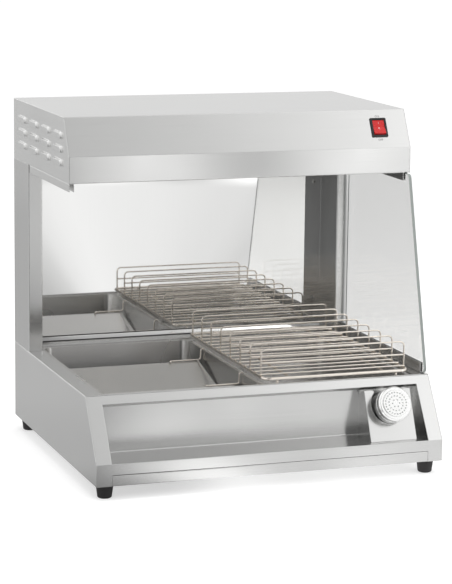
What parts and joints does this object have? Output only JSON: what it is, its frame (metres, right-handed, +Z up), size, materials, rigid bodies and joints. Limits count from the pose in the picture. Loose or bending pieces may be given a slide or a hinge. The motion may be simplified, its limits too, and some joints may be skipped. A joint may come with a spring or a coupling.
{
  "type": "chip warmer",
  "caption": "Counter-top chip warmer: folded steel base with chip pan, wire carton rack and front shelf, under a heated canopy on two rear posts.",
  "frame": {"origin": "on the floor under the middle of the cabinet, at the centre of its bounding box", "axes": "+X to the right seen from the front, +Y to the rear, +Z up"},
  "size_m": [0.708, 0.611, 0.691],
  "materials": {
    "stainless_sheet": "brushed stainless sheet, fine straight grain, lightly used",
    "polished_panel": "polished almost to a mirror",
    "pan_steel": "drawn stainless pan, satin, with fine scratches",
    "rack_wire": "bright plated wire",
    "hidden_steel": "plain mill-finish sheet inside the cabinet",
    "foot_rubber": "black moulded rubber",
    "screw_steel": "plated screw heads",
    "gland_nylon": "black nylon",
    "element_sheath": "heat-dulled sheathed element",
    "emitter_ceramic": "glazed ceramic heat emitter",
    "terminal_ceramic": "unglazed steatite terminal block",
    "side_glass": "clear toughened glass with ground edges",
    "switch_plastic": "black moulded switch housing",
    "rocker_plastic": "red moulded rocker",
    "shaker_metal": "spun satin metal"
  },
  "bodies": {
    "cabinet": {"base_side_left": "stainless_sheet", "base_side_right": "stainless_sheet", "base_front": "stainless_sheet", "base_floor": "stainless_sheet", "base_back": "stainless_sheet", "deck": "stainless_sheet", "pan_ledge": "stainless_sheet", "shelf_liner": "stainless_sheet", "shelf_end_left": "stainless_sheet", "shelf_end_right": "stainless_sheet", "foot_front_left": "foot_rubber", "foot_front_right": "foot_rubber", "foot_rear_left": "foot_rubber", "foot_rear_right": "foot_rubber", "foot_screws": "screw_steel", "cable_gland": "gland_nylon", "tray_runners": "hidden_steel", "heat_shield": "hidden_steel", "base_elements": "element_sheath", "element_clips": "hidden_steel", "element_terminals": "terminal_ceramic", "post_left": "stainless_sheet", "post_right": "stainless_sheet", "mirror_panel": "polished_panel", "mirror_screws": "screw_steel", "back_panel": "stainless_sheet", "canopy_shell": "stainless_sheet", "canopy_end_left": "stainless_sheet", "canopy_end_right": "stainless_sheet", "canopy_underside": "stainless_sheet", "reflector": "hidden_steel", "emitters": "emitter_ceramic", "emitter_terminals": "terminal_ceramic", "glass_channel_upper_left": "stainless_sheet", "glass_channel_upper_right": "stainless_sheet", "glass_channel_lower": "stainless_sheet", "switch_housing": "switch_plastic", "shaker_cradle": "stainless_sheet"},
    "power_rocker": {"switch_rocker": "rocker_plastic"},
    "crumb_drawer": {"crumb_tray": "hidden_steel", "crumb_tray_front": "stainless_sheet"},
    "chip_pan_body": {"chip_pan": "pan_steel"},
    "trough_body": {"chip_trough": "pan_steel", "trough_hangers": "rack_wire"},
    "drip_pan_body": {"drip_pan": "pan_steel"},
    "carton_rack": {"rack_rail": "rack_wire", "rack_floor_wires": "rack_wire", "rack_support_wires": "rack_wire", "rack_posts": "rack_wire", "rack_top_wires": "rack_wire", "rack_middle_wires": "rack_wire", "rack_feet": "rack_wire"},
    "salt_shaker": {"salt_shaker_can": "shaker_metal"},
    "shaker_lid": {"salt_shaker_lid": "shaker_metal"},
    "side_glass_body": {"side_glass": "side_glass"}
  },
  "joints": [
    {"name": "power_switch", "type": "hinge", "parent": "cabinet", "child": "power_rocker", "pos_m": [0.289, -0.09398, 0.65546], "axis": [1, 0, 0], "range_deg": [0, 14]},
    {"name": "crumb_tray_slide", "type": "slide", "parent": "cabinet", "child": "crumb_drawer", "axis": [0, -1, 0], "range_m": [0, 0.4]},
    {"name": "chip_pan_lift", "type": "slide", "parent": "cabinet", "child": "chip_pan_body", "axis": [0, 0, 1], "range_m": [0, 0.12]},
    {"name": "trough_lift", "type": "slide", "parent": "chip_pan_body", "child": "trough_body", "axis": [0, 0, 1], "range_m": [0, 0.1]},
    {"name": "drip_pan_lift", "type": "slide", "parent": "cabinet", "child": "drip_pan_body", "axis": [0, 0, 1], "range_m": [0, 0.12]},
    {"name": "rack_lift", "type": "slide", "parent": "drip_pan_body", "child": "carton_rack", "axis": [0, 0, 1], "range_m": [0, 0.12]},
    {"name": "shaker_pull", "type": "slide", "parent": "cabinet", "child": "salt_shaker", "axis": [0, -0.9135, 0.4067], "range_m": [0, 0.09]},
    {"name": "shaker_lid_pull", "type": "slide", "parent": "salt_shaker", "child": "shaker_lid", "axis": [0, -0.9135, 0.4067], "range_m": [0, 0.03]},
    {"name": "side_glass_slide", "type": "slide", "parent": "cabinet", "child": "side_glass_body", "axis": [0, -1, 0], "range_m": [0, 0.4]}
  ]
}
